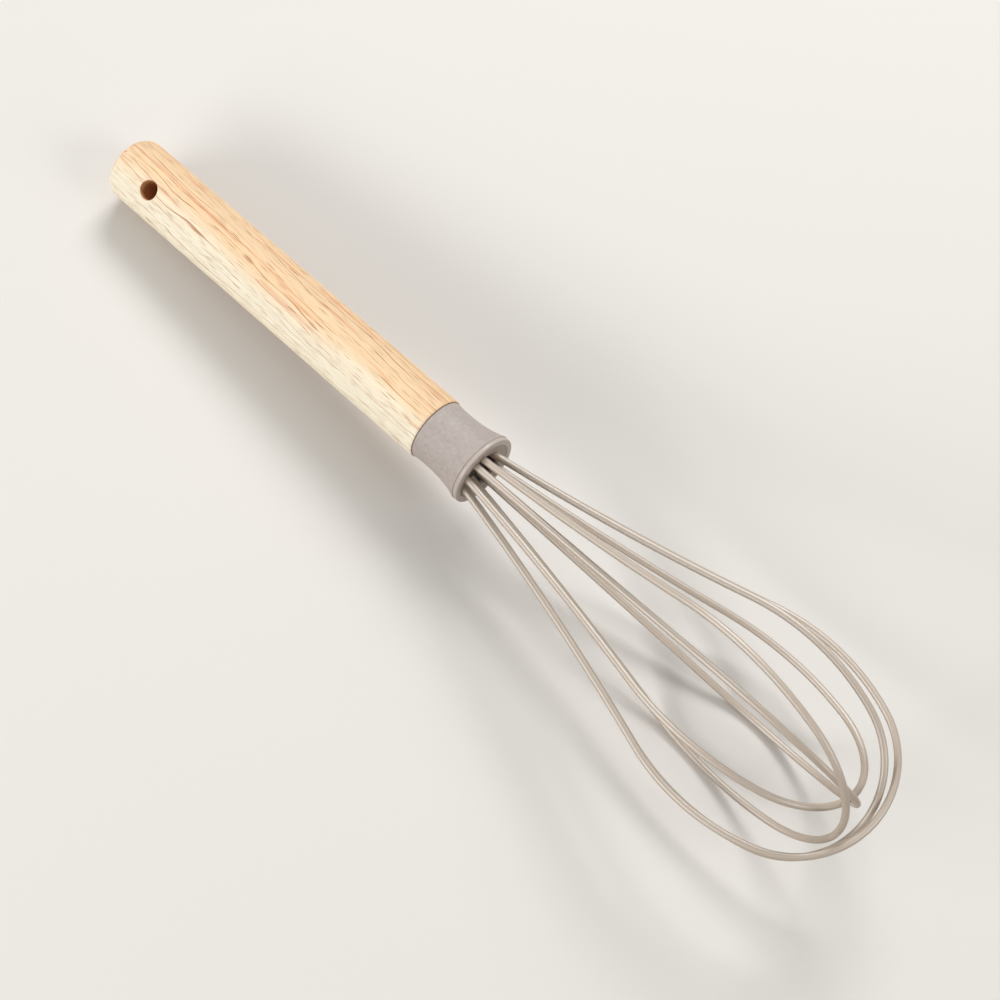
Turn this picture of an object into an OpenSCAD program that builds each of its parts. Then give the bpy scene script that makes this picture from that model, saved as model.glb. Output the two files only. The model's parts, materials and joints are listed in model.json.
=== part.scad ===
// Balloon whisk: a round wooden handle, a flared soft collar and five
// silicone-coated wire loops nested at the tip. Millimetres, +Z up, drawn as
// it lies on a table: the handle's free end and the two lowest loops touch z = 0.
// The whisk's own axis runs towards +X, to the tip, and climbs by the rest pitch.

/* [Handle] */
// diameter of the round wooden handle
handle_d = 20.5; // [18:0.5:26]
// length from the free end to the collar
handle_l = 134.8; // [100:0.1:160]
// rounding radius of the free end
end_round = 4; // [1:0.5:8]
// bevel where the wood meets the collar
front_bevel = 0.4; // [0.2:0.1:1]

/* [Hanging hole] */
// diameter of the hole through the handle
hang_d = 6; // [4:0.5:8]
// distance of the hole from the free end
hang_in = 17; // [13:0.5:25]
// turn of the hole from upright, towards the -Y side
hang_turn = 41; // [0:1:90]

/* [Collar] */
// length of the collar
collar_l = 19.6; // [17:0.2:26]
// step from the wood down to the back of the collar, all round
collar_step = 0.35; // [0.1:0.05:0.6]
// further drop from the back of the collar to its waist
waist_drop = 0.25; // [0:0.05:0.5]
// distance of the waist from the wood
waist_at = 4; // [2:0.5:7]
// diameter of the flared rim
rim_d = 23.3; // [22.4:0.1:28]
// how late the flare opens, as a power of the distance
flare_power = 2.6; // [1.5:0.1:4]
// width of the lip in front of the rim line
lip_w = 1.2; // [0.8:0.1:2]
// width of the line cut round the rim
line_w = 0.4; // [0.2:0.1:0.6]
// depth of the line cut round the rim
line_deep = 0.3; // [0.1:0.05:0.4]
// drop from the rim to the lip, in radius
lip_drop = 0.2; // [0.1:0.05:0.4]
// rounding of the lip's front edge
lip_round = 0.5; // [0.2:0.1:0.7]

/* [Wire holder] */
// diameter of the holder's front flange
flange_d = 18.8; // [18:0.1:19.4]
// length of the front flange
flange_l = 8; // [7:0.5:10]
// diameter of the holder's body
holder_d = 15.8; // [14.5:0.1:16.2]
// depth of the holder's face below the collar's front face
face_in = 0.1; // [0:0.1:0.6]
// diameter of the pit in the face, round the bundle of wires
pit_d = 14.4; // [13:0.1:14.8]
// diameter of the pit's floor
pit_floor_d = 12.8; // [11:0.1:13]
// depth of the pit
pit_deep = 3; // [2:0.5:4]
// distance from the collar's axis to the middle of the pit and of the bundle
bundle_off = 1.2; // [0:0.1:1.2]
// direction of that distance, turned from upright towards the -Y side
bundle_turn = 70; // [0:5:180]

/* [Joining stud] */
// diameter of the steel stud
stud_d = 6; // [4:0.5:6.5]
// length of the stud inside the handle
stud_in_handle = 22; // [14:1:40]
// length of the stud inside the holder
stud_in_holder = 9; // [7:0.5:9.5]
// bevel on the stud's ends
stud_bevel = 0.5; // [0.2:0.1:1]
// room left past each end of the stud
stud_room = 1; // [0.5:0.5:1.5]

/* [Wires] */
// diameter over the silicone coating
wire_d = 2.1; // [1.8:0.1:2.2]
// diameter of the steel core
core_d = 1.2; // [0.8:0.1:1.5]
// depth of the coating in the holder, behind the bend start
coat_seat = 2.5; // [2:0.5:3.5]
// depth of the core in the holder, behind the bend start
core_seat = 6; // [4:0.5:6]

/* [Cage] */
// distance of the bend start behind the collar's front face
root_back = 3.5; // [2.5:0.5:5]
// radius of the circle of wires at the bend start
root_r = 6.2; // [6:0.1:6.3]
// slope of a wire at the bend start, as a share of the slope straight out to
// its widest point
aim_share = 0.83; // [0.7:0.01:0.85]
// distance of the innermost loop's tip from the collar's front face
reach = 138.5; // [130:0.1:160]
// step from one loop's tip to the next, centre to centre
nest_step = 2.32; // [2.32:0.01:3]
// tip radius as a share of the loop's half width
tip_share = 0.92; // [0.88:0.01:0.94]
// half width of the innermost loop
half_width_1 = 30; // [26:0.1:34]
// half width of the second loop
half_width_2 = 29.3; // [26:0.1:34]
// half width of the third loop
half_width_3 = 33; // [26:0.1:34]
// half width of the fourth loop
half_width_4 = 29.9; // [26:0.1:34]
// half width of the outermost loop
half_width_5 = 30.5; // [26:0.1:34]
// radius of the innermost loop's side, as a share of its half width
side_share_1 = 2.3; // [1.5:0.01:2.6]
// the same for the second loop
side_share_2 = 1.73; // [1.5:0.01:2.6]
// the same for the third loop
side_share_3 = 2; // [1.5:0.01:2.6]
// the same for the fourth loop
side_share_4 = 2.43; // [1.5:0.01:2.6]
// the same for the outermost loop
side_share_5 = 2.19; // [1.5:0.01:2.6]

/* [Loop angles] */
// angle from one loop's plane to the next
fan_step = 36; // [35:0.5:37]
// turn of the whole cage about the whisk's axis
cage_turn = -10.5; // [-18:0.5:18]
// extra turn of the innermost loop's plane
turn_1 = 1; // [-6:0.5:6]
// extra turn of the second loop's plane
turn_2 = 5; // [-6:0.5:6]
// extra turn of the third loop's plane
turn_3 = -5.5; // [-6:0.5:6]
// extra turn of the fourth loop's plane
turn_4 = 3; // [-6:0.5:6]
// extra turn of the outermost loop's plane
turn_5 = -2; // [-6:0.5:6]
// lean of the innermost loop within its own plane
lean_1 = -1.8; // [-2.6:0.1:2]
// lean of the second loop
lean_2 = -1.6; // [-2.6:0.1:2]
// lean of the third loop
lean_3 = 0.5; // [-2.6:0.1:2]
// lean of the fourth loop
lean_4 = -2.5; // [-2.6:0.1:2]
// lean of the outermost loop
lean_5 = -0.9; // [-2.6:0.1:2]
// sideways drift of the innermost loop out of its plane
drift_1 = -1.3; // [-3.8:0.1:3]
// sideways drift of the second loop
drift_2 = -0.2; // [-3.8:0.1:3]
// sideways drift of the third loop
drift_3 = -3.8; // [-3.8:0.1:3]
// sideways drift of the fourth loop
drift_4 = 1.7; // [-3.8:0.1:3]
// sideways drift of the outermost loop
drift_5 = 0.6; // [-3.8:0.1:3]

/* [Fits] */
// play between parts that slide together, in radius
play = 0.05; // [0.02:0.01:0.08]

/* [Hidden] */
$fn = 96;
// overrun of every cut past the face that it opens
over = 1;
// overlap of the stretches of a wire, and how much thicker every other one is
lap = 0.4;
joint_step = 0.02;
handle_r = handle_d / 2;
handle_back = -collar_l - handle_l;
hang_x = handle_back + hang_in;
wire_r = wire_d / 2;
core_r = core_d / 2;
stud_r = stud_d / 2;
collar_back_r = handle_r - collar_step;
waist_r = collar_back_r - waist_drop;
rim_r = rim_d / 2;
lip_r = rim_r - lip_drop;
flange_back = -face_in - flange_l;
// middle of the bundle of wires at the bend start
root = [-root_back, -bundle_off * sin(bundle_turn), bundle_off * cos(bundle_turn)];
// points along each stretch of the collar's curved profile
flare_count = 16;
waist_count = 6;
rounding_count = 6;

// Loops from the innermost tip outwards:
// half width, side share, turn of the plane, lean, drift.
loops = [
    [half_width_1, side_share_1, cage_turn - 1.5 * fan_step + turn_1, lean_1, drift_1],
    [half_width_2, side_share_2, cage_turn - 0.5 * fan_step + turn_2, lean_2, drift_2],
    [half_width_3, side_share_3, cage_turn + 0.5 * fan_step + turn_3, lean_3, drift_3],
    [half_width_4, side_share_4, cage_turn + 1.5 * fan_step + turn_4, lean_4, drift_4],
    [half_width_5, side_share_5, cage_turn + 2.5 * fan_step + turn_5, lean_5, drift_5]
];
order = [0 : len(loops) - 1];
// the two loops that the cage lies on
rest_pair = [1, 2];
// steps of each search by halving, and the widest turns searched
halvings = 24;
most_pitch = atan((half_width_3 + wire_r) / (collar_l + handle_l));
most_roll = fan_step / 3;

// A vector turned about one axis, by the right-hand rule.
function turn_x(v, a) = [v.x, v.y * cos(a) - v.z * sin(a), v.y * sin(a) + v.z * cos(a)];
function turn_y(v, a) = [v.x * cos(a) + v.z * sin(a), v.y, v.z * cos(a) - v.x * sin(a)];
function turn_z(v, a) = [v.x * cos(a) - v.y * sin(a), v.x * sin(a) + v.y * cos(a), v.z];

// Half of a loop is three tangent arcs: a long outward bow from the bend start,
// a side that turns in past the widest point, and a tip arc centred on the axis.
// How far the tip arc's centre is past the widest point, for a side of radius s
// and a tip of radius t on a loop of half width h.
function tip_past(h, s, t) = sqrt(pow(s - t, 2) - pow(s - h, 2));
// Radius of the bow that starts at angle a and meets the side, which is widest
// at distance w.
function bow_radius(h, w, s, a) =
    let (k = root_r - h + s)
    (w * w + k * k - s * s) / (2 * (s - w * sin(a) - k * cos(a)));

// Sizes of loop i, measured from the bend start: half width, widest point, angles
// where the bow starts and ends, radii of the bow, the side and the tip, tip arc's
// centre, tip arc's first angle.
function loop_sizes(i) =
    let (h = loops[i][0])
    let (s = loops[i][1] * h)
    let (t = tip_share * h)
    let (c = tip_past(h, s, t))
    let (w = root_back + reach + i * nest_step - t - c)
    let (a = atan(aim_share * (h - root_r) / w))
    let (b = bow_radius(h, w, s, a))
    [h, w, a, asin((w + b * sin(a)) / (b + s)), b, s, t, w + c, asin(c / (s - t))];
sizes = [for (i = order) loop_sizes(i)];

// Farthest reach of loop i along the unit vector d of the whisk's own frame, which
// the loop's own plane sees as v.
function loop_view(i, d) =
    turn_y(turn_z(turn_x(d, loops[i][2]), -loops[i][4]), loops[i][3]);
function arc_reach(s, x, z) =
    atan2(-x, abs(z)) > -s[8]
    ? s[1] * x + (s[0] - s[5]) * abs(z) + s[5] * norm([x, z])
    : s[7] * x + s[6] * norm([x, z]);
function loop_reach(i, d) =
    let (v = loop_view(i, d))
    root * d + arc_reach(sizes[i], v.x, v.z) + wire_r + joint_step;
function cage_reach(d) = max([for (i = order) loop_reach(i, d)]);
// Farthest reach of the handle's rounded end along d.
function handle_reach(d) =
    (handle_back + end_round) * d.x + (handle_r - end_round) * norm([d.y, d.z]) + end_round;

// A direction of the table's frame as the whisk's own frame sees it.
function from_table(v, roll, pitch) = turn_x(turn_y(v, pitch), roll);

// Pitch at which the pair of loops and the handle's end touch the table at once.
function pitch_at(roll, low, high, n) =
    let (m = (low + high) / 2)
    let (d = from_table([0, 0, -1], roll, m))
    n == 0 ? m
    : max([for (i = rest_pair) loop_reach(i, d)]) > handle_reach(d)
        ? pitch_at(roll, m, high, n - 1)
    : pitch_at(roll, low, m, n - 1);
// How much lower the pair's first loop hangs than its second, at a roll.
function pair_lead(roll) =
    let (d = from_table([0, 0, -1], roll, pitch_at(roll, 0, most_pitch, halvings)))
    loop_reach(rest_pair[0], d) - loop_reach(rest_pair[1], d);
// Roll at which both of them touch.
function roll_between(low, high, lead_low, n) =
    let (m = (low + high) / 2)
    let (lead = pair_lead(m))
    n == 0 ? m
    : lead * lead_low > 0 ? roll_between(m, high, lead, n - 1)
    : roll_between(low, m, lead_low, n - 1);
rest_roll = roll_between(-most_roll, most_roll, pair_lead(-most_roll), halvings);
rest_pitch = pitch_at(rest_roll, 0, most_pitch, halvings);

// The origin is under the middle of the whisk's box.
function table_reach(v) =
    let (d = from_table(v, rest_roll, rest_pitch))
    max(cage_reach(d), handle_reach(d));
shift = [
    (table_reach([-1, 0, 0]) - table_reach([1, 0, 0])) / 2,
    (table_reach([0, -1, 0]) - table_reach([0, 1, 0])) / 2,
    table_reach([0, 0, -1])
];

wood = [0.95, 0.86, 0.7];
grey = [0.72, 0.67, 0.63];
holder_grey = [0.66, 0.61, 0.57];
steel = [0.75, 0.76, 0.78];

// Lays the whisk's own frame on the table.
module at_rest() {
    translate(shift)
        rotate([0, -rest_pitch, 0])
            rotate([-rest_roll, 0, 0])
                children();
}

// A rod along X, or a cone where the second radius differs.
module rod(x0, x1, r0, r1) {
    translate([x0, 0, 0])
        rotate([0, 90, 0])
            cylinder(h = x1 - x0, r1 = r0, r2 = r1);
}

// A profile of [radius, distance along X] turned about X.
module turned() {
    rotate([0, 90, 0])
        rotate_extrude()
            children();
}

module handle() {
    color(wood)
        at_rest()
            difference() {
                turned()
                    handle_profile();
                rod(-collar_l - stud_in_handle - stud_room, -collar_l + over, stud_r + play, stud_r + play);
                translate([hang_x, 0, 0])
                    rotate([hang_turn, 0, 0])
                        cylinder(h = handle_d + 2 * over, d = hang_d, center = true);
            }
}

// Half outline of the handle: straight side, round free end, bevelled front.
module handle_profile() {
    difference() {
        polygon([
            [0, handle_back],
            [handle_r, handle_back],
            [handle_r, -collar_l - front_bevel],
            [handle_r - front_bevel, -collar_l],
            [0, -collar_l]
        ]);
        difference() {
            translate([handle_r - end_round, handle_back - over])
                square([end_round + over, end_round + over]);
            translate([handle_r - end_round, handle_back + end_round])
                circle(r = end_round);
        }
    }
}

// The collar's outer radius at distance s from the wood.
flare_l = collar_l - lip_w - line_w;
function collar_r(s) =
    s < waist_at ? waist_r + waist_drop * pow(1 - s / waist_at, 2)
    : waist_r + (rim_r - waist_r) * pow((s - waist_at) / (flare_l - waist_at), flare_power);

module collar() {
    bore_r = holder_d / 2 + play;
    mouth_r = flange_d / 2 + play;
    back = [for (k = [0 : waist_count - 1]) waist_at * k / waist_count];
    front = [for (k = [0 : flare_count]) waist_at + (flare_l - waist_at) * k / flare_count];
    color(grey)
        at_rest()
            turned()
                polygon(concat(
                    [[bore_r, -collar_l]],
                    [for (s = concat(back, front)) [collar_r(s), s - collar_l]],
                    [[lip_r - line_deep, -lip_w - line_w / 2], [lip_r, -lip_w]],
                    [for (k = [0 : rounding_count])
                        let (a = 90 * k / rounding_count)
                        [lip_r - lip_round * (1 - cos(a)), -lip_round * (1 - sin(a))]],
                    [[mouth_r, 0], [mouth_r, flange_back], [bore_r, flange_back]]
                ));
}

module wire_holder() {
    color(holder_grey)
        at_rest()
            difference() {
                union() {
                    rod(-collar_l, flange_back, holder_d / 2, holder_d / 2);
                    rod(flange_back, -face_in, flange_d / 2, flange_d / 2);
                }
                translate([0, root.y, root.z]) {
                    rod(-face_in - pit_deep, -face_in, pit_floor_d / 2, pit_d / 2);
                    rod(-face_in, over, pit_d / 2, pit_d / 2);
                }
                rod(-collar_l - over, -collar_l + stud_in_holder + stud_room, stud_r + play, stud_r + play);
                for (i = order)
                    loop_place(i)
                        for (side = [-1, 1])
                            wire_channel(sizes[i], side);
            }
}

// Steel stud glued into the handle and the holder.
module joining_stud() {
    back = -collar_l - stud_in_handle;
    front = -collar_l + stud_in_holder;
    color(steel)
        at_rest()
            turned()
                polygon([
                    [0, back],
                    [stud_r - stud_bevel, back],
                    [stud_r, back + stud_bevel],
                    [stud_r, front - stud_bevel],
                    [stud_r - stud_bevel, front],
                    [0, front]
                ]);
}

// Puts a loop drawn in its own XZ plane, from the bend start, into the cage.
module loop_place(i) {
    translate(root)
        rotate([-loops[i][2], 0, 0])
            rotate([0, -loops[i][3], loops[i][4]])
                children();
}

// Sweeps a section along the circle about [x, z] of radius r, from angle a0 to
// a1, both measured from +X towards +Z.
module arc(x, z, r, a0, a1) {
    translate([x, 0, z])
        rotate([90, 0, 0])
            rotate([0, 0, a0])
                rotate_extrude(angle = a1 - a0)
                    translate([r, 0])
                        children();
}

// The bow of a loop of sizes s on one side, up to the wire's angle a.
module bow(s, side, a) {
    arc(-s[4] * sin(s[2]), side * (root_r + s[4] * cos(s[2])), s[4],
        side > 0 ? s[2] - 90 : 90 - a, side > 0 ? a - 90 : 90 - s[2])
            children();
}

// The straight seat on one side, from a depth behind the bend start to past it.
module seat(s, side, depth, past) {
    translate([0, 0, side * root_r])
        rotate([0, -side * s[2], 0])
            rotate([0, 90, 0])
                translate([0, 0, -depth])
                    linear_extrude(height = depth + past)
                        children();
}

// One closed round wire of radius r: two seats, two bows, two sides and the tip
// arc. The seats and sides are a hair thicker and run past their joints, so that
// the thinner stretches end inside them.
module loop_path(s, depth, r) {
    side_lap = lap / s[5] * 180 / PI;
    for (side = [-1, 1]) {
        seat(s, side, depth, lap)
            circle(r = r + joint_step);
        bow(s, side, s[3])
            circle(r = r);
        arc(s[1], side * (s[0] - s[5]), s[5],
            (side > 0 ? 90 - s[8] : -90 - s[3]) - side_lap,
            (side > 0 ? 90 + s[3] : s[8] - 90) + side_lap)
                circle(r = r + joint_step);
    }
    arc(s[7], 0, s[6], s[8] - 90, 90 - s[8])
        circle(r = r);
}

// The stepped hole that one end of a loop sits in.
module wire_channel(s, side) {
    seat(s, side, core_seat + play, 0)
        circle(r = core_r + joint_step + play);
    seat(s, side, coat_seat + play, lap)
        circle(r = wire_r + joint_step + play);
    bow(s, side, s[2] + atan((root_back + 2 * over) / s[4]))
        circle(r = wire_r + play);
}

module loop_coating(i) {
    color(grey)
        at_rest()
            loop_place(i)
                difference() {
                    loop_path(sizes[i], coat_seat, wire_r);
                    loop_path(sizes[i], coat_seat + over, core_r + play);
                }
}

module loop_core(i) {
    color(steel)
        at_rest()
            loop_place(i)
                loop_path(sizes[i], core_seat, core_r);
}

module loop_1_coating() { loop_coating(0); }
module loop_2_coating() { loop_coating(1); }
module loop_3_coating() { loop_coating(2); }
module loop_4_coating() { loop_coating(3); }
module loop_5_coating() { loop_coating(4); }
module loop_1_core() { loop_core(0); }
module loop_2_core() { loop_core(1); }
module loop_3_core() { loop_core(2); }
module loop_4_core() { loop_core(3); }
module loop_5_core() { loop_core(4); }

handle();
collar();
wire_holder();
joining_stud();
loop_1_coating();
loop_2_coating();
loop_3_coating();
loop_4_coating();
loop_5_coating();
loop_1_core();
loop_2_core();
loop_3_core();
loop_4_core();
loop_5_core();
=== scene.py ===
import json
import math

import bmesh
import bpy
import numpy as np
from mathutils import Matrix, Vector


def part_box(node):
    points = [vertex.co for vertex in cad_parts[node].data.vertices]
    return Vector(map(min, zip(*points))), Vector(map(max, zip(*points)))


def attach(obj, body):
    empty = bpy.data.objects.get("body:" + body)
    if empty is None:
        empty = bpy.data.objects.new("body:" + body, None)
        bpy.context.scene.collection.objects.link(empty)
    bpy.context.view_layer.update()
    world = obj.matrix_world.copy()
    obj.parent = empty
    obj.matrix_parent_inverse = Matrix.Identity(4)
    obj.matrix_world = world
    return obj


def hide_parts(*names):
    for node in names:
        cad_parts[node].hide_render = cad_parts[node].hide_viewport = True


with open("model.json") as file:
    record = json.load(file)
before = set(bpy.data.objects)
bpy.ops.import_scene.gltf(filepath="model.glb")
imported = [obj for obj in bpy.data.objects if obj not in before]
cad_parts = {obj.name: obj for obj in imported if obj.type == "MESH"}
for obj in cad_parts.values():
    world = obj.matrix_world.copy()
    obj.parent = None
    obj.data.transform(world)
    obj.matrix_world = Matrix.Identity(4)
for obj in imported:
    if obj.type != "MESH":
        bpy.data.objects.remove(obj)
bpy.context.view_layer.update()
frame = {"nodes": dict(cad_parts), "record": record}
print("stage: frame loaded")

mm = 0.001


# Where the whisk lies

# All shapes below are worked out in millimetres in the whisk's own frame: x runs along
# its axis to the tip from the collar's front face, and z is up but for the rest pose.
whisk = {
    "collarLength": 19.6,
    "holeTurn": 41.0,        # hanging hole from upright, in degrees towards -y
    "studInHandle": 22.0,
    "studInHolder": 9.0,
}


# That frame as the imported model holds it: the hanging hole's middle and the middle of the
# joining stud are both on the axis, and the hole's direction gives the turn about it.
def whiskFrame():
    mount = frame["record"]["mounts"][0]
    hole = Vector(mount["pos_m"])
    low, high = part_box("joining_stud")
    middle = (Vector(low) + Vector(high)) / 2
    along = (middle - hole).normalized()
    bore = Vector(mount["axis"])
    bore = (bore - along * bore.dot(along)).normalized()
    turn = math.radians(whisk["holeTurn"])
    up = math.cos(turn) * bore - math.sin(turn) * along.cross(bore)
    side = up.cross(along)
    ahead = whisk["collarLength"] + (whisk["studInHandle"] - whisk["studInHolder"]) / 2
    start = middle + along * ahead * mm
    return Matrix((along, side, up)).transposed(), start


whiskTurn, whiskStart = whiskFrame()
axisX, axisY, axisZ = np.eye(3)


# Points in the whisk's frame, in millimetres, to the row's frame, in metres.
def toRow(points):
    return points @ np.array(whiskTurn).T * mm + np.array(whiskStart)


# Mesh making

# One object from points in the whisk's frame and faces of four corners, where a corner
# that comes twice makes a triangle. Points within the merge distance, in millimetres,
# become one, and all faces are turned outwards.
def addPiece(name, points, faces, merge):
    corners = [tuple(dict.fromkeys(face)) for face in faces.tolist()]
    mesh = bpy.data.meshes.new(name)
    mesh.from_pydata(toRow(points).tolist(), [], corners)
    work = bmesh.new()
    work.from_mesh(mesh)
    bmesh.ops.remove_doubles(work, verts=work.verts, dist=merge * mm)
    bmesh.ops.recalc_face_normals(work, faces=work.faces)
    work.to_mesh(mesh)
    work.free()
    mesh.shade_smooth()
    piece = bpy.data.objects.new(name, mesh)
    bpy.context.scene.collection.objects.link(piece)
    return piece


# Faces of a grid of rows by columns, which may close on itself either way.
def gridFaces(rows, columns, closeRows=False, closeColumns=False):
    r = np.arange(rows if closeRows else rows - 1)[:, None]
    c = np.arange(columns if closeColumns else columns - 1)[None, :]
    nextR = (r + 1) % rows
    nextC = (c + 1) % columns
    corners = [r * columns + c, nextR * columns + c, nextR * columns + nextC, r * columns + nextC]
    return np.stack([k + 0 * (r + c) for k in corners], -1).reshape(-1, 4)


# So many points along part of a circle: its centre plus its radius times the cosine and
# sine of an angle that runs from start to end, in degrees.
def arcPoints(centre, radius, start, end, count):
    a = np.radians(np.linspace(start, end, count))
    return np.stack([centre[0] + radius * np.cos(a), centre[1] + radius * np.sin(a)], -1)


# Evenly spread points along the straight lines from corner to corner, so many on each,
# without the last corner.
def chainPoints(corners, counts):
    lines = []
    for start, end, count in zip(corners, corners[1:], counts):
        t = np.arange(count)[:, None] / count
        lines.append(np.array(start) * (1 - t) + np.array(end) * t)
    return np.concatenate(lines)


# A profile of (x, radius) turned about the axis: x along it, and the radius times the
# cosine of the turn along the start direction plus its sine along the across direction.
def turnedPoints(profile, around, start, across):
    a = 2 * math.pi * np.arange(around)[:, None] / around
    ring = np.cos(a) * start + np.sin(a) * across
    points = profile[:, 1, None, None] * ring + profile[:, 0, None, None] * axisX
    return points.reshape(-1, 3)


# Several parts of a mesh as one: their points in a row, and their faces counted on.
def joinParts(parts):
    points, faces = zip(*parts)
    starts = np.cumsum([0] + [len(p) for p in points[:-1]])
    return np.concatenate(points), np.concatenate([f + start for f, start in zip(faces, starts)])


# Handle

handle = {
    "diameter": 20.5,
    "length": 134.8,
    "endRound": 4.0,         # rounding where the side meets the free end
    "endSlope": 4.0,         # degrees that the end's slight crown falls off at its edge
    "frontBevel": 0.4,
    "holeDiameter": 6.0,
    "holeFromEnd": 17.0,
    "holeEase": 0.35,        # rounding of the hole's sharp edge
    "studHole": 6.1,
    "studDepth": 23.0,
    "around": 160,           # points round the handle
    "windowHalf": 12,        # points from the middle to the side of the window at a mouth
    "windowStep": 0.4,       # from ring to ring in the window
    "ringsBehind": 9,        # rings from the free end to the window
    "ringsAhead": 220,       # rings from the window to the front
    "mouthRings": 10,        # rings from the window's border to the mouth
    "mouthPower": 0.85,      # below 1 these rings shrink faster at first
    "easeRings": 6,          # on the mouth's eased edge
    "wallRings": 14,         # from mouth to mouth
    "edgeRings": 12,         # on the free end's rounding
    "crownRings": 16,        # on the free end's face
    "noseRings": (3, 8, 12, 4),    # on the bevel, the front face, the stud's hole and its floor
}
handleRadius = handle["diameter"] / 2
handleFront = -whisk["collarLength"]
handleBack = handleFront - handle["length"]
holeX = handleBack + handle["holeFromEnd"]
holeRadius = handle["holeDiameter"] / 2
holeTurn = math.radians(whisk["holeTurn"])
holeOut = math.cos(holeTurn) * axisZ - math.sin(holeTurn) * axisY        # out of the hole's mouth
holeAcross = math.cos(holeTurn) * axisY + math.sin(holeTurn) * axisZ


# The side is a grid of x and turn from the hole's direction, with a window left open
# round each mouth of the hole.
def handleSide():
    around, half = handle["around"], handle["windowHalf"]
    windowX = holeX + handle["windowStep"] * np.arange(-half, half + 1)
    behind = np.linspace(handleBack + handle["endRound"], windowX[0], handle["ringsBehind"])[:-1]
    ahead = np.linspace(windowX[-1], handleFront - handle["frontBevel"], handle["ringsAhead"])[1:]
    x = np.concatenate([behind, windowX, ahead])
    profile = np.stack([x, np.full(len(x), handleRadius)], -1)
    faces = gridFaces(len(x), around, closeColumns=True).reshape(-1, around, 4)
    keep = np.ones(faces.shape[:2], bool)
    rows = slice(len(behind), len(behind) + 2 * half)
    for middle in (0, around // 2):
        keep[rows, (middle + np.arange(-half, half)) % around] = False
    return turnedPoints(profile, around, holeOut, holeAcross), faces[keep]


# Through the hole: rings shrink on the handle's side from the window's border to the round
# mouth, roll a quarter turn over its eased edge and run along the wall to the other mouth.
# A point is x along the handle, t across the hole and h out of it. On the handle's side, h
# is the square root of the handle's radius squared less t squared.
def handleHole():
    half, ease = handle["windowHalf"], handle["holeEase"]
    k = np.arange(-half, half)
    borderX = np.concatenate([0 * k - half, k, 0 * k + half, -k]) * handle["windowStep"]
    borderTurn = np.concatenate([-k, 0 * k - half, k, 0 * k + half]) * 2 * math.pi / handle["around"]
    borderT = handleRadius * np.sin(borderTurn)
    a = np.arctan2(borderT, borderX)
    shrink = np.linspace(0, 1, handle["mouthRings"])[:, None] ** handle["mouthPower"]
    mouthX = borderX * (1 - shrink) + (holeRadius + ease) * np.cos(a) * shrink
    mouthT = borderT * (1 - shrink) + (holeRadius + ease) * np.sin(a) * shrink
    mouthH = np.sqrt(handleRadius ** 2 - mouthT ** 2)
    roll = np.linspace(0, math.pi / 2, handle["easeRings"])[1:, None]
    rollRadius = holeRadius + ease * (1 - np.sin(roll))
    rollX, rollT = rollRadius * np.cos(a), rollRadius * np.sin(a)
    rollH = np.sqrt(handleRadius ** 2 - rollT ** 2) - ease * (1 - np.cos(roll))
    wallH = rollH[-1] * np.linspace(1, -1, handle["wallRings"])[1:-1, None]
    wallX, wallT = holeRadius * np.cos(a) + 0 * wallH, holeRadius * np.sin(a) + 0 * wallH
    x = holeX + np.concatenate([mouthX, rollX, wallX, rollX[::-1], mouthX[::-1]])
    t = np.concatenate([mouthT, rollT, wallT, rollT[::-1], mouthT[::-1]])
    h = np.concatenate([mouthH, rollH, wallH, -rollH[::-1], -mouthH[::-1]])
    points = x[..., None] * axisX + t[..., None] * holeAcross + h[..., None] * holeOut
    return points.reshape(-1, 3), gridFaces(*x.shape, closeColumns=True)


# A turned profile that a fan of triangles closes at a pole on the axis.
def turnedCap(profile, poleX):
    around = handle["around"]
    points = turnedPoints(profile, around, holeOut, holeAcross)
    pole = np.full(around, len(points))
    ring = pole - around + np.arange(around)
    fan = np.stack([ring, np.roll(ring, -1), pole, pole], -1)
    faces = np.concatenate([gridFaces(len(profile), around, closeColumns=True), fan])
    return np.concatenate([points, [poleX * axisX]]), faces


# Free end: nearly a quarter round, then a face that rises to its middle by the square of
# the distance from it.
def handleEnd():
    e = handle["endRound"]
    last = 180 - handle["endSlope"]
    edge = arcPoints((handleBack + e, handleRadius - e), e, 90, last, handle["edgeRings"])
    edgeX, edgeRadius = edge[-1]
    t = np.linspace(1, 0, handle["crownRings"])[1:-1]
    crown = np.stack([handleBack + (edgeX - handleBack) * t ** 2, edgeRadius * t], -1)
    return turnedCap(np.concatenate([edge, crown]), handleBack)


# Front: bevel, flat face, and the stud's hole with its floor.
def handleNose():
    r, b, s = handleRadius, handle["frontBevel"], handle["studHole"] / 2
    front, floor = handleFront, handleFront - handle["studDepth"]
    corners = [(front - b, r), (front, r - b), (front, s), (floor, s), (floor, 0)]
    return turnedCap(chainPoints(corners, handle["noseRings"]), floor)


def makeHandle():
    points, faces = joinParts([handleSide(), handleHole(), handleEnd(), handleNose()])
    return addPiece("turned_handle", points, faces, merge=0.002)


handlePiece = makeHandle()
print("stage: handle made")


# Collar

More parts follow.
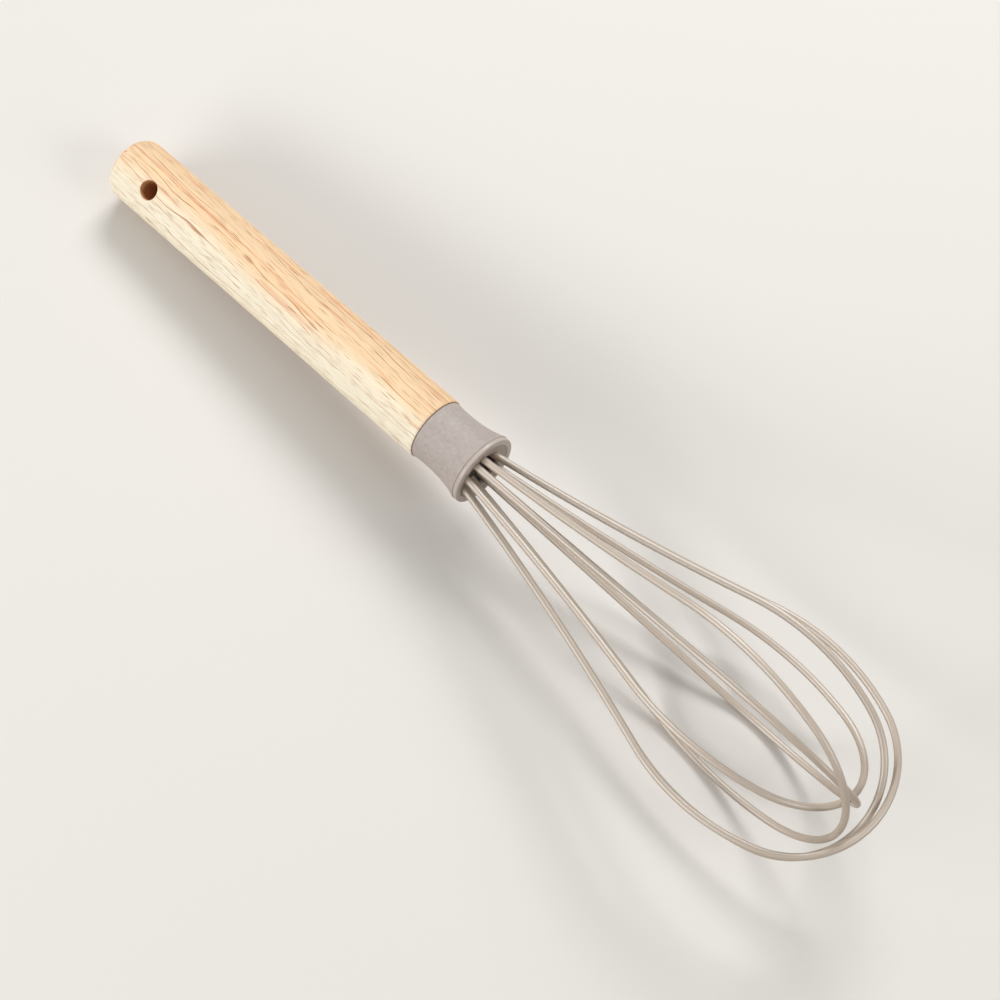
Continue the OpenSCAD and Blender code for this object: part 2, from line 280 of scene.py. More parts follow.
collar = {
    "backRadius": 9.9,
    "backRound": 0.25,
    "waistRadius": 9.65,
    "waistAt": 4.0,          # from the back
    "rimRadius": 11.65,
    "rimRound": 0.28,
    "flarePower": 2.6,       # how late the flare opens
    "lineWidth": 0.4,
    "lineDepth": 0.3,
    # the line's section, by the distance ahead of its back wall or, below 0, of its front
    # wall, and the height over its floor
    "lineSection": [(0.02, 0.12), (0.12, 0.0), (-0.12, 0.0), (-0.03, 0.1)],
    "lipWidth": 1.2,
    "lipDrop": 0.2,          # from the rim's radius to the lip's
    "lipBackRound": 0.2,
    "lipRound": 0.5,
    "mouthRadius": 9.45,
    "mouthRound": 0.25,
    "mouthFrom": 0.65,       # behind the front face, where the mouth's straight wall begins
    "mouthDepth": 8.1,
    "boreRadius": 7.95,
    "around": 192,           # points round the collar
    "flareRings": 70,
    "roundRings": (6, 6, 5, 10, 6),    # on the back's, rim's, lip's back, lip's and mouth's rounding
    "insideRings": (8, 3, 8, 4),       # on the mouth, its step, the bore and the back face
}


# The profile starts at the back, follows the waist and the late flare to the rim, dips
# into the line behind the lip, rounds the lip and returns along the mouth and the bore.
# Outside, the radius falls to the waist by the square of the distance left, and past it
# grows by the flare's power of the share of the way to the rim. Roundings run by degrees
# from forwards, 0, to outwards, 90.
def collarProfile():
    c = collar
    backX = -whisk["collarLength"]
    rimX = -c["lipWidth"] - c["lineWidth"]
    b, k, q, m = c["backRound"], c["rimRound"], c["lipBackRound"], c["mouthRound"]
    x = np.linspace(backX + b, rimX - k, c["flareRings"])
    early = np.clip(1 - (x - backX) / c["waistAt"], 0, None)
    late = np.clip((x - backX - c["waistAt"]) / (rimX - backX - c["waistAt"]), 0, None)
    radius = c["waistRadius"] + (c["backRadius"] - c["waistRadius"]) * early ** 2
    radius = radius + (c["rimRadius"] - c["waistRadius"]) * late ** c["flarePower"]
    outside = np.stack([x, radius], -1)
    onBack, onRim, onLipBack, onLip, onMouth = c["roundRings"]
    backEdge = arcPoints((x[0], radius[0] - b), b, 180, 90, onBack)[:-1]
    rim = arcPoints((x[-1], radius[-1] - k), k, 85, 10, onRim)
    lip = c["rimRadius"] - c["lipDrop"]
    floor = lip - c["lineDepth"]
    line = [((rimX if past > 0 else -c["lipWidth"]) + past, floor + over) for past, over in c["lineSection"]]
    lipBack = arcPoints((-c["lipWidth"] + q, lip - q), q, 175, 95, onLipBack)
    lipFront = arcPoints((-c["lipRound"], lip - c["lipRound"]), c["lipRound"], 90, 0, onLip)
    mouthEdge = arcPoints((-m, c["mouthRadius"] + m), m, 0, -90, onMouth)
    inside = chainPoints([
        (-c["mouthFrom"], c["mouthRadius"]),
        (-c["mouthDepth"], c["mouthRadius"]),
        (-c["mouthDepth"], c["boreRadius"]),
        (backX, c["boreRadius"]),
        backEdge[0],
    ], c["insideRings"])
    return np.concatenate([backEdge, outside, rim, line, lipBack, lipFront, mouthEdge, inside])


def makeCollar():
    profile = collarProfile()
    points = turnedPoints(profile, collar["around"], axisZ, axisY)
    faces = gridFaces(len(profile), collar["around"], closeRows=True, closeColumns=True)
    return addPiece("flared_collar", points, faces, merge=0.001)


collarPiece = makeCollar()
print("stage: collar made")


# Wire loops

# Half of a loop is a straight seat in the holder, a long outward bow, a side that turns
# in past the widest point and a tip arc centred on the axis, all tangent. The loops
# stand in planes fanned about the axis, from the innermost tip outwards.
cage = {
    "wireDiameter": 2.1,
    "coreHole": 1.3,
    "seatDepth": 2.5,
    "rootBack": 3.5,         # bend start behind the collar's front face
    "rootRadius": 6.2,       # from the middle of the bundle of wires to a bend's start
    "rootOff": 1.2,          # from the collar's axis to the middle of the bundle
    "rootTurn": 70.0,        # which way that is, degrees from upright, towards -y
    "aimShare": 0.83,        # slope at the bend start over the slope to the widest point
    "tipShare": 0.92,        # tip radius over half width
    "reach": 138.5,          # the innermost tip from the collar's front face
    "nestStep": 2.32,        # from one tip to the next
    "fanStep": 36.0,         # degrees from one loop's plane to the next
    "fanMiddle": 1.5,        # the fan's middle, counted in loops from the first
    "turn": -10.5,           # degrees that the fan's middle is turned from upright, towards +y
    "around": 24,            # points round a wire
    "spacing": 0.9,          # from ring to ring along it
    # half width, side radius over half width, extra turn, lean and drift in degrees
    "loops": [
        (30.0, 2.30, 1.0, -1.8, -1.3),
        (29.3, 1.73, 5.0, -1.6, -0.2),
        (33.0, 2.00, -5.5, 0.5, -3.8),
        (29.9, 2.43, 3.0, -2.5, 1.7),
        (30.5, 2.19, -2.0, -0.9, 0.6),
    ],
}


# Points along half of loop i, as x and the distance from the axis, and the direction at
# each. Each arc is its centre plus its radius times the sine and cosine of the direction.
def halfLoop(i):
    h, sideShare = cage["loops"][i][:2]
    side, tip = sideShare * h, cage["tipShare"] * h
    past = math.sqrt((side - tip) ** 2 - (side - h) ** 2)
    wide = cage["rootBack"] + cage["reach"] + i * cage["nestStep"] - tip - past
    splay = math.atan(cage["aimShare"] * (h - cage["rootRadius"]) / wide)
    k = cage["rootRadius"] - h + side
    bow = (wide ** 2 + k ** 2 - side ** 2) / (2 * (side - wide * math.sin(splay) - k * math.cos(splay)))
    bowEnd = math.asin((wide + bow * math.sin(splay)) / (bow + side))
    tipStart = math.asin(past / (side - tip))

    gap = cage["spacing"]
    depth = np.arange(cage["seatDepth"], 0, -gap)
    onBow = np.linspace(splay, bowEnd, int(bow * (bowEnd - splay) / gap), endpoint=False)
    onSide = np.linspace(bowEnd, -tipStart, int(side * (bowEnd + tipStart) / gap), endpoint=False)
    onTip = np.linspace(-tipStart, -math.pi / 2, int(tip * (math.pi / 2 - tipStart) / gap))
    x = np.concatenate([
        -depth * math.cos(splay),
        bow * (np.sin(onBow) - math.sin(splay)),
        wide - side * np.sin(onSide),
        wide + past - tip * np.sin(onTip),
    ])
    r = np.concatenate([
        cage["rootRadius"] - depth * math.sin(splay),
        cage["rootRadius"] + bow * (math.cos(splay) - np.cos(onBow)),
        h - side * (1 - np.cos(onSide)),
        tip * np.cos(onTip),
    ])
    return x, r, np.concatenate([np.full(len(depth), splay), onBow, onSide, onTip])


# Turns points of a loop's own plane into the whisk's frame.
def loopTurn(i):
    turn, lean, drift = cage["loops"][i][2:]
    turn += cage["turn"] + cage["fanStep"] * (i - cage["fanMiddle"])
    return np.array(Matrix.Rotation(math.radians(-turn), 3, "X")
                    @ Matrix.Rotation(math.radians(drift), 3, "Z")
                    @ Matrix.Rotation(math.radians(-lean), 3, "Y"))


# The coating is a round section carried along the loop and back inside itself round the
# core's channel: a point of the path, plus the radius times the cosine of the turn round
# the wire outwards in the loop's plane and its sine square to that plane.
def makeCoating(i):
    x, r, a = halfLoop(i)
    x = np.concatenate([x, x[-2::-1]])[:, None, None]
    z = np.concatenate([r, -r[-2::-1]])[:, None, None]
    a = np.concatenate([a, -math.pi - a[-2::-1]])[:, None, None]
    path = x * axisX + z * axisZ
    phi = 2 * math.pi * np.arange(cage["around"])[:, None] / cage["around"]
    ring = np.cos(phi) * (np.cos(a) * axisZ - np.sin(a) * axisX) + np.sin(phi) * axisY
    skin = path + ring * cage["wireDiameter"] / 2
    channel = path + ring * cage["coreHole"] / 2
    grid = np.concatenate([skin, channel[::-1]])
    off, turn = cage["rootOff"], math.radians(cage["rootTurn"])
    root = np.array([-cage["rootBack"], -off * math.sin(turn), off * math.cos(turn)])
    points = grid.reshape(-1, 3) @ loopTurn(i).T + root
    faces = gridFaces(len(grid), cage["around"], closeRows=True, closeColumns=True)
    return addPiece(f"coated_wire_{i + 1}", points, faces, merge=0.0001)


loopCount = len(cage["loops"])
wirePieces = [makeCoating(i) for i in range(loopCount)]
print("stage: loops made")


# Materials

# sRGB hex to linear colour.
def hexColour(text):
    values = [int(text[k:k + 2], 16) / 255 for k in (0, 2, 4)]
    linear = [v / 12.92 if v <= 0.04045 else ((v + 0.055) / 1.055) ** 2.4 for v in values]
    return (*linear, 1.0)


# Adds a node, sets its properties and its inputs by name or number, and links inputs to
# sockets, or to the first output of nodes. By number, MapRange's inputs 1 to 4 are the
# lowest and highest value and what each becomes, and Mix's colours are 6 and 7.
def addNode(tree, kind, settings=None, links=None):
    node = tree.nodes.new("ShaderNode" + kind)
    for key, value in (settings or {}).items():
        if isinstance(key, str) and hasattr(node, key):
            setattr(node, key, value)
        else:
            node.inputs[key].default_value = value
    for key, source in (links or {}).items():
        socket = source.outputs[0] if hasattr(source, "outputs") else source
        tree.links.new(socket, node.inputs[key])
    return node


def newMaterial(name):
    material = bpy.data.materials.new(name)
    material.use_nodes = True
    material.node_tree.nodes.clear()
    return material, material.node_tree


# Object coordinates in the whisk's frame, turned so that x follows fibres that lean from
# the axis by skew degrees towards -y, in cells of so many millimetres along and across.
def whiskPlace(tree, skew=0.0, along=1.0, across=1.0):
    lean = Matrix.Rotation(math.radians(skew), 3, "Z")
    turn = lean @ whiskTurn.transposed()
    place = addNode(tree, "TexCoord")
    turned = addNode(tree, "Mapping", {
        "Rotation": turn.to_euler("XYZ"),
        "Location": turn @ -whiskStart / mm,
        "Scale": (1 / mm, 1 / mm, 1 / mm),
    }, {"Vector": place.outputs["Object"]})
    return addNode(tree, "Mapping", {"Scale": (1 / along, 1 / across, 1 / across)}, {"Vector": turned})


eased = {"interpolation_type": "SMOOTHSTEP"}      # for a MapRange that starts and ends gently

# Rubberwood, turned on a lathe, sanded and lightly oiled: a tan ground that turns cream on
# one side, partly pale sapwood and partly a painted highlight on the side the front strip
# lights, fine fibres, short brown pores cut open along the grain, long thin lines between
# years' growth and a few pinkish streaks. The drilled hole's wall is rougher and painted
# darker, partly as painted shade of the hole's inside.
wood = {
    "tan": "F5D4AA",
    # cream: partly pale sapwood, partly a painted highlight on the lit -y side
    "cream": "FDF4DC",
    "streak": "E6AA7F",
    "line": "B0662C",
    "pore": "98561E",
    # painted shade: the hole's wall is painted darker, partly for the shade inside the hole
    "bore": "BC8048",
    # painted shadow in the groove where the wood meets the collar
    "seamShade": "6B4E3A",
    "grainSkew": 2.2,              # degrees between the fibres and the handle's axis
    # noise patterns: mm along the fibres and across them, detail and roughness
    "noise": {
        "creamEdge": (70.0, 4.0, 3.0, 0.55),
        "streaks": (30.0, 2.0, 2.0, 0.5),
        "fibres": (12.0, 0.24, 4.0, 0.6),
        "lineWaves": (42.0, 6.0, 2.0, 0.5),
        "lineBreaks": (26.0, 1.6, 2.0, 0.5),
        "poreDrifts": (24.0, 3.0, 2.0, 0.5),
    },
    "creamFrom": -2.3,             # mm across the handle where cream begins
    "creamTo": -10.2,              # and where it is all cream
    "creamWander": 10.0,           # mm that this edge wanders
    "streakLevels": (0.52, 0.72),  # noise where a streak begins, and where it is full
    "streakMost": 0.8,
    "fibreLevels": (0.3, 0.7),     # noise of the darkest and the lightest fibre
    "fibreShades": (0.83, 1.07),   # their tone, times the ground's
    "fibreRoughness": (0.55, 0.7),
    "lineSpacing": 2.2,            # mm between the long lines, round the handle
    "lineWander": 6.0,             # mm that they wander
    "lineWidths": (0.02, 0.14),    # mm from a line's middle where it is full, and where it ends
    "lineMost": 0.85,
    "breakLevels": (0.4, 0.55),    # noise where a line is broken off, and where it is whole
    # pores: mm from one to the next along the fibres and across them, degrees off the other
    # fibres, width as a share of the cell, share of cells without one, and strength
    "finePores": {"along": 7.35, "across": 0.335, "skew": 0.0, "width": 0.4, "missing": 0.15, "most": 0.76},
    "coarsePores": {"along": 10.5, "across": 0.54, "skew": 0.6, "width": 0.33, "missing": 0.3, "most": 1.35},
    "poreCore": 0.35,              # share of a pore's width that is full
    "driftLevels": (0.38, 0.62),   # noise between drifts of coarse pores, and within them
    "driftLeast": 0.25,            # what is left of the coarse pores between drifts
    "poreMost": 0.95,
    "creamPoreLoss": 0.3,          # how much paler pores are in the cream
    "boreEdge": (0.05, 0.25),      # mm past the hole's wall to which its colour is full, and ends
    "boreMost": 0.85,
    "boreRoughness": 0.9,
    # the seam's painted shadow: where it begins and where it is full, and its strength
    "seamShadeEdge": (0.24, 0.1),       # mm from the collar where the seam's dark begins, and is full
    "seamShadeMost": 0.85,
    "bump": 0.25,
    "bumpHeight": 0.06,            # mm
    "ior": 1.47,
}


# Long cells with a dark dash along the middle of some: how dark, by place.
def addPores(tree, pores):
    place = whiskPlace(tree, wood["grainSkew"] + pores["skew"], pores["along"], pores["across"])
    cells = addNode(tree, "TexVoronoi", {"Scale": 1.0, "Randomness": 1.0}, {"Vector": place})
    width = pores["width"]
    dash = addNode(tree, "MapRange", {**eased, 1: width * wood["poreCore"], 2: width, 3: 1.0, 4: 0.0},
                   {0: cells.outputs["Distance"]})
    draw = addNode(tree, "SeparateColor", {}, {0: cells.outputs["Color"]})      # a random number a cell
    depth = addNode(tree, "MapRange", {1: pores["missing"], 2: 1.0, 3: 0.0, 4: pores["most"]}, {0: draw})
    return addNode(tree, "Math", {"operation": "MULTIPLY"}, {0: dash, 1: depth})


def makeWood():
    material, tree = newMaterial("oiled_rubberwood")
    place = whiskPlace(tree)
    x, y, z = addNode(tree, "SeparateXYZ", {}, {0: place}).outputs
    noise = {}
    for name, (along, across, detail, roughness) in wood["noise"].items():
        cells = whiskPlace(tree, wood["grainSkew"], along, across)
        noise[name] = addNode(tree, "TexNoise", {"Scale": 1.0, "Detail": detail, "Roughness": roughness},
                              {"Vector": cells})

    # where cream meets tan: across the handle, with an uneven edge; the cream is partly sapwood
    # and partly a painted highlight on the side the front strip lights
    wander = wood["creamWander"]
    edge = addNode(tree, "Math", {"operation": "MULTIPLY_ADD", 1: wander}, {0: noise["creamEdge"], 2: y})
    low, high = wood["creamTo"] + wander / 2, wood["creamFrom"] + wander / 2
    creamShare = addNode(tree, "MapRange", {**eased, 1: low, 2: high, 3: 1.0, 4: 0.0}, {0: edge})
    ground = addNode(tree, "Mix", {
        "data_type": "RGBA",
        6: hexColour(wood["tan"]),
        7: hexColour(wood["cream"]),
    }, {0: creamShare}).outputs[2]

    # pinkish streaks in the tan
    low, high = wood["streakLevels"]
    streak = addNode(tree, "MapRange", {**eased, 1: low, 2: high, 3: 0.0, 4: wood["streakMost"]},
                     {0: noise["streaks"]})
    tanShare = addNode(tree, "Math", {"operation": "SUBTRACT", 0: 1.0}, {1: creamShare})
    streakShare = addNode(tree, "Math", {"operation": "MULTIPLY"}, {0: streak, 1: tanShare})
    ground = addNode(tree, "Mix", {"data_type": "RGBA", 7: hexColour(wood["streak"])},
                     {0: streakShare, 6: ground}).outputs[2]

    # fine fibres, lighter and darker
    low, high = wood["fibreLevels"]
    darkest, lightest = wood["fibreShades"]
    shade = addNode(tree, "MapRange", {1: low, 2: high, 3: darkest, 4: lightest}, {0: noise["fibres"]})
    ground = addNode(tree, "VectorMath", {"operation": "SCALE"}, {0: ground, "Scale": shade})

    # long thin lines where two years' growth meet: even steps round the handle, with a slow
    # wave and the fibres' skew, broken up
    turn = addNode(tree, "Math", {"operation": "ARCTAN2"}, {0: y, 1: z})
    level = addNode(tree, "Math", {"operation": "MULTIPLY", 1: handleRadius}, {0: turn})
    level = addNode(tree, "Math", {"operation": "MULTIPLY_ADD", 1: wood["lineWander"]},
                    {0: noise["lineWaves"], 2: level})
    climb = math.sin(math.radians(wood["grainSkew"]))
    level = addNode(tree, "Math", {"operation": "MULTIPLY_ADD", 1: climb}, {0: x, 2: level})
    band = addNode(tree, "Math", {"operation": "PINGPONG", 1: wood["lineSpacing"] / 2}, {0: level})
    low, high = wood["lineWidths"]
    line = addNode(tree, "MapRange", {**eased, 1: low, 2: high, 3: wood["lineMost"], 4: 0.0}, {0: band})
    low, high = wood["breakLevels"]
    unbroken = addNode(tree, "MapRange", {**eased, 1: low, 2: high}, {0: noise["lineBreaks"]})
    lineShare = addNode(tree, "Math", {"operation": "MULTIPLY"}, {0: line, 1: unbroken})

    # open pores: many fine ones, and coarser dark ones in drifts, all paler in the cream
    low, high = wood["driftLevels"]
    drifts = addNode(tree, "MapRange", {**eased, 1: low, 2: high, 3: wood["driftLeast"], 4: 1.0},
                     {0: noise["poreDrifts"]})
    coarse = addPores(tree, wood["coarsePores"])
    fine = addPores(tree, wood["finePores"])
    pores = addNode(tree, "Math", {"operation": "MULTIPLY_ADD"}, {0: drifts, 1: coarse, 2: fine})
    pores = addNode(tree, "Math", {"operation": "MINIMUM", 1: wood["poreMost"]}, {0: pores})
    left = addNode(tree, "Math", {"operation": "MULTIPLY_ADD", 1: -wood["creamPoreLoss"], 2: 1.0},
                   {0: creamShare})
    pores = addNode(tree, "Math", {"operation": "MULTIPLY"}, {0: pores, 1: left})

    # the drilled hole's wall, by the distance from the hole's own axis: rougher wood, painted
    # darker, partly as painted shade of the hole's inside
    fromHole = addNode(tree, "VectorMath", {"operation": "SUBTRACT", 1: (holeX, 0, 0)}, {0: place})
    offAxis = addNode(tree, "VectorMath", {"operation": "CROSS_PRODUCT", 1: holeOut.tolist()}, {0: fromHole})
    apart = addNode(tree, "VectorMath", {"operation": "LENGTH"}, {0: offAxis})
    low, high = wood["boreEdge"]
    boreShare = addNode(tree, "MapRange", {
        **eased, 1: holeRadius + low, 2: holeRadius + high, 3: wood["boreMost"], 4: 0.0,
    }, {0: apart.outputs["Value"]})

    # painted shadow: a dark line painted where the wood meets the collar, for the shade in the
    # groove between them
    low, high = wood["seamShadeEdge"]
    seamShadeShare = addNode(tree, "MapRange", {
        **eased, 1: handleFront - low, 2: handleFront - high, 3: 0.0, 4: wood["seamShadeMost"],
    }, {0: x})

    layers = {"line": lineShare, "pore": pores, "bore": boreShare, "seamShade": seamShadeShare}
    for name, share in layers.items():
        ground = addNode(tree, "Mix", {"data_type": "RGBA", 7: hexColour(wood[name])},
                         {0: share, 6: ground}).outputs[2]

    low, high = wood["fibreLevels"]
    smoothest, roughest = wood["fibreRoughness"]
    rough = addNode(tree, "MapRange", {1: low, 2: high, 3: smoothest, 4: roughest}, {0: noise["fibres"]})
    boreRough = addNode(tree, "Math", {"operation": "MULTIPLY", 1: wood["boreRoughness"]}, {0: boreShare})
    rough = addNode(tree, "Math", {"operation": "MAXIMUM"}, {0: rough, 1: boreRough})
    relief = addNode(tree, "Math", {"operation": "SUBTRACT"}, {0: noise["fibres"], 1: pores})
    bump = addNode(tree, "Bump", {"Strength": wood["bump"], "Distance": wood["bumpHeight"] * mm},
                   {"Height": relief})
    shader = addNode(tree, "BsdfPrincipled", {"IOR": wood["ior"]},
                     {"Base Color": ground, "Roughness": rough, "Normal": bump})
    addNode(tree, "OutputMaterial", {}, {"Surface": shader})
    return material


# Silicone, moulded for the collar and extruded over the wires: soft sheen, faint cloudy
# tone, and a very fine grain that the mould leaves. The collar's thin lip is smoother, and
# painted paler: a painted highlight for the light on its rounded edges.
silicone = {
    # the collar's lip colour is a painted highlight on the lip's rounded edges
    "collar": {"colour": "B1A7A1", "mottle": 0.17, "roughness": 0.56, "ior": 1.43, "gloss": 0.5,
               "bump": 0.45, "lip": "BFB3AA"},
    "coating": {"colour": "AB9C8B", "mottle": 0.03, "roughness": 0.42, "ior": 1.72, "gloss": 1.0,
                "bump": 0.06},
    "cloudSize": 1.3,              # mm
    "grainSize": 0.22,             # mm, coarser than the real 0.05 so that it shows
    "grainShare": 0.35,            # of the grain in the tone, beside the clouds
    "toneLevels": (0.35, 1.0),     # clouds and grain together, at the darkest and the lightest
    "roughnessSpread": (-0.04, 0.06),
    "bumpHeight": 0.02,            # mm
    # the lip's painted highlight: where it begins and is full, its strength, and how much smoother the lip
    # is
    "lipHighlightFrom": -2.1,               # mm along the axis where the lip's tone begins
    "lipHighlightTo": -1.65,                # and where it is full
    "lipHighlightMost": 0.85,
    "lipSmoother": 0.24,           # what the lip's roughness is less by
}


def makeSilicone(name, finish):
    material, tree = newMaterial(name)
    place = whiskPlace(tree)
    cloud = addNode(tree, "TexNoise", {"Scale": 1 / silicone["cloudSize"], "Detail": 3.0, "Roughness": 0.6},
                    {"Vector": place})
    grain = addNode(tree, "TexNoise", {"Scale": 1 / silicone["grainSize"], "Detail": 2.0, "Roughness": 0.5},
                    {"Vector": place})
    both = addNode(tree, "Math", {"operation": "MULTIPLY_ADD", 1: silicone["grainShare"]},
                   {0: grain, 2: cloud})
    low, high = silicone["toneLevels"]
    shade = addNode(tree, "MapRange", {1: low, 2: high, 3: 1 - finish["mottle"], 4: 1 + finish["mottle"]},
                    {0: both})
    tone = addNode(tree, "VectorMath", {"operation": "SCALE", 0: hexColour(finish["colour"])[:3]},
                   {"Scale": shade})
    smoother, rougher = silicone["roughnessSpread"]
    rough = addNode(tree, "MapRange", {
        1: low, 2: high, 3: finish["roughness"] + smoother, 4: finish["roughness"] + rougher,
    }, {0: both})
    # painted highlight: the lip is painted paler, and made smoother
    if "lip" in finish:
        x = addNode(tree, "SeparateXYZ", {}, {0: place})
        lipHighlightShare = addNode(tree, "MapRange", {
            **eased, 1: silicone["lipHighlightFrom"], 2: silicone["lipHighlightTo"], 3: 0.0, 4: silicone["lipHighlightMost"],
        }, {0: x})
        tone = addNode(tree, "Mix", {"data_type": "RGBA", 7: hexColour(finish["lip"])},
                       {0: lipHighlightShare, 6: tone}).outputs[2]
        rough = addNode(tree, "Math", {"operation": "MULTIPLY_ADD", 1: -silicone["lipSmoother"]},
                        {0: lipHighlightShare, 2: rough})
    bump = addNode(tree, "Bump", {"Strength": finish["bump"], "Distance": silicone["bumpHeight"] * mm},
                   {"Height": grain})
    shader = addNode(tree, "BsdfPrincipled", {"IOR": finish["ior"], "Specular IOR Level": finish["gloss"]},
                     {"Base Color": tone, "Roughness": rough, "Normal": bump})
    addNode(tree, "OutputMaterial", {}, {"Surface": shader})
    return material


# Injection-moulded nylon of the wire holder: a dull grey close to the collar's, faintly
# cloudy, with painted shade that turns it near black down in the pit that the wires come
# out of.
nylon = {
    "pale": "ACA096",
    "dark": "978B81",
    # painted shade: near black painted down in the pit, where little light reaches
    "pit": "1C1612",
    "pitFrom": -0.35,              # mm along the axis where the pit's dark begins
    "pitTo": -1.6,                 # and where it is full
    "pitMost": 0.95,
    "cloudSize": 1.6,              # mm
    "roughness": (0.52, 0.68),
    "bump": 0.3,
    "bumpHeight": 0.05,            # mm
    "ior": 1.53,
}


def makeNylon():
    material, tree = newMaterial("moulded_nylon")
    place = whiskPlace(tree)
    cloud = addNode(tree, "TexNoise", {"Scale": 1 / nylon["cloudSize"], "Detail": 5.0, "Roughness": 0.6},
                    {"Vector": place})
    tone = addNode(tree, "Mix", {
        "data_type": "RGBA",
        6: hexColour(nylon["dark"]),
        7: hexColour(nylon["pale"]),
    }, {0: cloud}).outputs[2]
    # painted shade, darker with depth into the pit along the axis
    x = addNode(tree, "SeparateXYZ", {}, {0: place})
    pitShare = addNode(tree, "MapRange", {
        **eased, 1: nylon["pitTo"], 2: nylon["pitFrom"], 3: nylon["pitMost"], 4: 0.0,
    }, {0: x})
    tone = addNode(tree, "Mix", {"data_type": "RGBA", 7: hexColour(nylon["pit"])},
                   {0: pitShare, 6: tone}).outputs[2]
    smoothest, roughest = nylon["roughness"]
    rough = addNode(tree, "MapRange", {3: smoothest, 4: roughest}, {0: cloud})
    bump = addNode(tree, "Bump", {"Strength": nylon["bump"], "Distance": nylon["bumpHeight"] * mm},
                   {"Height": cloud})
    shader = addNode(tree, "BsdfPrincipled", {"IOR": nylon["ior"]},
                     {"Base Color": tone, "Roughness": rough, "Normal": bump})
    addNode(tree, "OutputMaterial", {}, {"Surface": shader})
    return material


# Drawn stainless steel: bright, with faint lengthwise die marks.
steel = {
    "colour": "C9C7C4",
    "markLength": 9.0,             # mm
    "markWidth": 0.12,
    "shades": (0.92, 1.05),
    "roughness": (0.22, 0.38),
    "bump": 0.2,
    "bumpHeight": 0.01,            # mm
}


def makeSteel():
    material, tree = newMaterial("drawn_stainless_steel")
    marks = addNode(tree, "TexNoise", {"Scale": 1.0, "Detail": 3.0, "Roughness": 0.6},
                    {"Vector": whiskPlace(tree, 0.0, steel["markLength"], steel["markWidth"])})
    darkest, lightest = steel["shades"]
    shade = addNode(tree, "MapRange", {3: darkest, 4: lightest}, {0: marks})
    tone = addNode(tree, "VectorMath", {"operation": "SCALE", 0: hexColour(steel["colour"])[:3]},
                   {"Scale": shade})
    smoothest, roughest = steel["roughness"]
    rough = addNode(tree, "MapRange", {3: smoothest, 4: roughest}, {0: marks})
    bump = addNode(tree, "Bump", {"Strength": steel["bump"], "Distance": steel["bumpHeight"] * mm},
                   {"Height": marks})
    shader = addNode(tree, "BsdfPrincipled", {"Metallic": 1.0},
                     {"Base Color": tone, "Roughness": rough, "Normal": bump})
    addNode(tree, "OutputMaterial", {}, {"Surface": shader})
    return material


woodMaterial = makeWood()
collarMaterial = makeSilicone("moulded_silicone", silicone["collar"])
coatingMaterial = makeSilicone("extruded_silicone", silicone["coating"])
nylonMaterial = makeNylon()
steelMaterial = makeSteel()
print("stage: materials made")


# Finishes

# A new piece takes its material, rides on the one body and stands for a node.
def dress(piece, material, node):
    piece.data.materials.append(material)
    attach(piece, "root")
    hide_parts(node)


dress(handlePiece, woodMaterial, "handle")
dress(collarPiece, collarMaterial, "collar")
for i, piece in enumerate(wirePieces):
    dress(piece, coatingMaterial, f"loop_{i + 1}_coating")

# the other nodes carry over, each with its material
carried = {"wire_holder": nylonMaterial, "joining_stud": steelMaterial}
carried.update({f"loop_{i + 1}_core": steelMaterial for i in range(loopCount)})
for name, material in carried.items():
    node = frame["nodes"][name]
    if not node.material_slots:
        node.data.materials.append(material)
    for slot in node.material_slots:
        slot.material = material
print("stage: pieces and carried-over nodes finished")


# Studio

studio = {
    "floorSize": 6.0,          # metres
    "floorSeen": "E4E1DC",     # its colour to the camera
    "floorBounce": "A39688",   # and in the light that it throws back on the object
    "floorNear": 0.4,          # metres out to which the floor is lit paper
    "floorFar": 1.6,           # and from which it has turned into the pale background
    "worldColour": "FFFDFA",
    "worldShare": 0.25,        # how much the air around lights the object
    # where each lamp stands, its length and height in metres, and the share of full light it
    # gives: the front and the back one lie along the whisk so that every wire gets a highlight
    "lamps": [
        ("front_strip", (-0.45, -1.25, 0.55), (1.3, 0.34), 0.78),
        ("back_softbox", (-0.50, 0.95, 1.00), (0.8, 0.50), 0.70),
        ("tip_softbox", (1.10, 0.30, 0.75), (0.6, 0.6), 0.27),
    ],
}


# 1 for rays by which the camera sees a surface, straight, in a gloss or through glass, and
# 0 for rays by which the surface lights the object.
def seenShare(tree):
    path = addNode(tree, "LightPath")
    seen = path.outputs["Is Camera Ray"]
    for ray in ("Is Glossy Ray", "Is Transmission Ray"):
        seen = addNode(tree, "Math", {"operation": "MAXIMUM"}, {0: seen, 1: path.outputs[ray]})
    return seen


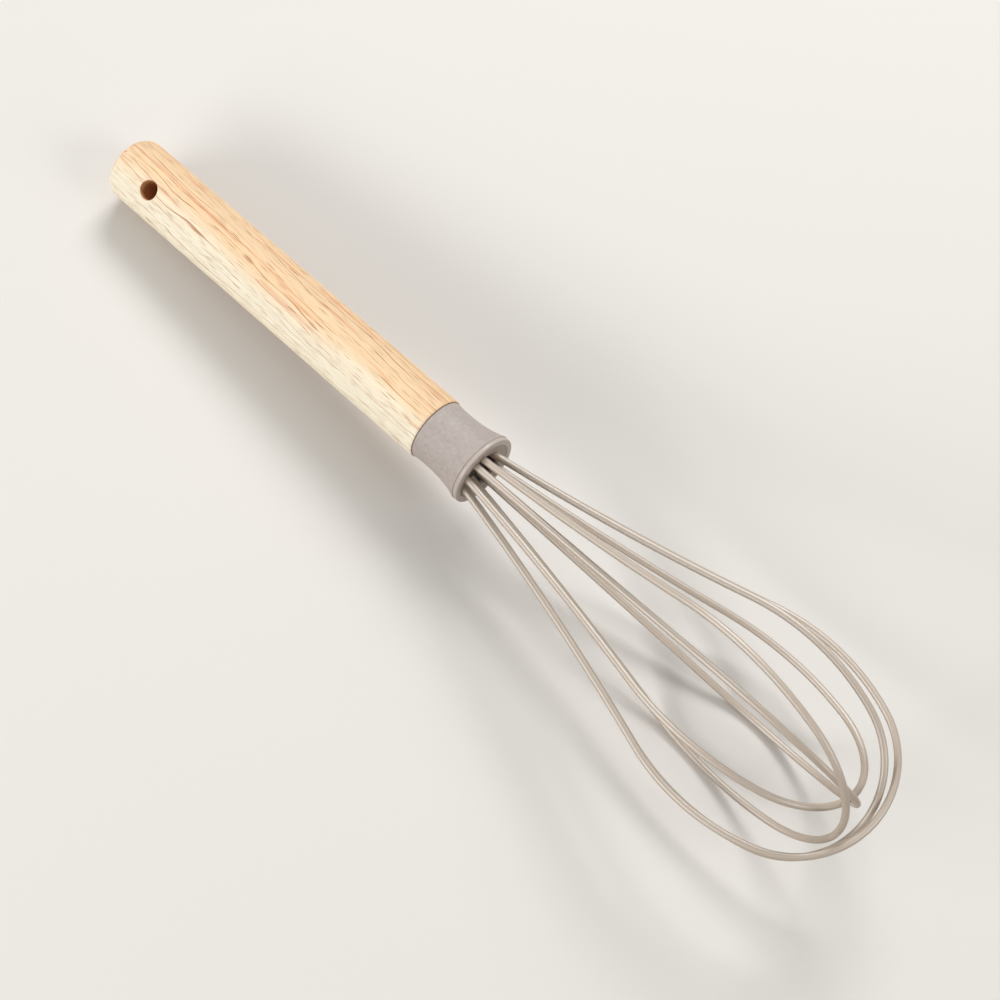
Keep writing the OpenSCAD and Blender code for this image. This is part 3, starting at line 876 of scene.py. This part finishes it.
# Pale paper that fades into the background with distance.
def makeFloor():
    half = studio["floorSize"] / 2
    mesh = bpy.data.meshes.new("studio_floor")
    corners = [(-half, -half, 0), (half, -half, 0), (half, half, 0), (-half, half, 0)]
    mesh.from_pydata(corners, [], [(0, 1, 2, 3)])
    floor = bpy.data.objects.new("studio_floor", mesh)
    bpy.context.scene.collection.objects.link(floor)
    material, tree = newMaterial("studio_paper")
    seen = seenShare(tree)
    pale = addNode(tree, "BsdfDiffuse", {"Color": hexColour(studio["floorSeen"])})
    dull = addNode(tree, "BsdfDiffuse", {"Color": hexColour(studio["floorBounce"])})
    paper = addNode(tree, "MixShader", {}, {0: seen, 1: dull, 2: pale})
    place = addNode(tree, "TexCoord")
    apart = addNode(tree, "VectorMath", {"operation": "LENGTH"}, {0: place.outputs["Object"]})
    far = addNode(tree, "MapRange", {**eased, 1: studio["floorNear"], 2: studio["floorFar"]},
                  {0: apart.outputs["Value"]})
    far = addNode(tree, "Math", {"operation": "MULTIPLY"}, {0: far, 1: seen})
    glow = addNode(tree, "Emission", {"Color": hexColour(studio["worldColour"]), "Strength": 1.0})
    surface = addNode(tree, "MixShader", {}, {0: far, 1: paper, 2: glow})
    addNode(tree, "OutputMaterial", {}, {"Surface": surface})
    mesh.materials.append(material)


def makeWorld():
    world = bpy.data.worlds.new("studio_air")
    world.use_nodes = True
    tree = world.node_tree
    tree.nodes.clear()
    colour = hexColour(studio["worldColour"])
    back = addNode(tree, "Background", {"Color": colour, "Strength": 1.0})
    air = addNode(tree, "Background", {"Color": colour, "Strength": studio["worldShare"]})
    both = addNode(tree, "MixShader", {}, {0: seenShare(tree), 1: air, 2: back})
    addNode(tree, "OutputWorld", {}, {"Surface": both})
    bpy.context.scene.world = world


# A lamp of power P at distance d lights a white surface that faces it to P / (pi d)^2.
def makeLamps():
    for name, spot, size, share in studio["lamps"]:
        lamp = bpy.data.lights.new(name, "AREA")
        lamp.shape = "RECTANGLE"
        lamp.size, lamp.size_y = size
        place = Vector(spot)
        lamp.energy = share * (math.pi * place.length) ** 2
        holder = bpy.data.objects.new(name, lamp)
        holder.location = place
        holder.rotation_euler = (-place).to_track_quat("-Z", "Y").to_euler()
        bpy.context.scene.collection.objects.link(holder)


# The camera stands over the whisk's front side, tilted 24 degrees from straight down.
view = {
    "spot": (166.6, -197.5, 595.3),    # mm
    "aim": (12.2, -0.1, 22.0),
    "roll": 7.14,                      # degrees
    "lens": 78.76,
    "sensor": 36.0,
    "nearest": 0.01,                   # metres
}


def makeCamera():
    camera = bpy.data.cameras.new("camera")
    camera.sensor_width = view["sensor"]
    camera.lens = view["lens"]
    camera.clip_start = view["nearest"]
    holder = bpy.data.objects.new("camera", camera)
    spot, aim = Vector(view["spot"]) * mm, Vector(view["aim"]) * mm
    roll = Matrix.Rotation(math.radians(view["roll"]), 3, "Z")
    turn = (aim - spot).to_track_quat("-Z", "Y").to_matrix() @ roll
    holder.matrix_world = Matrix.Translation(spot) @ turn.to_4x4()
    bpy.context.scene.collection.objects.link(holder)
    bpy.context.scene.camera = holder


makeFloor()
makeWorld()
makeLamps()
makeCamera()
bpy.context.scene.view_settings.view_transform = "Standard"
print("stage: studio and camera set")
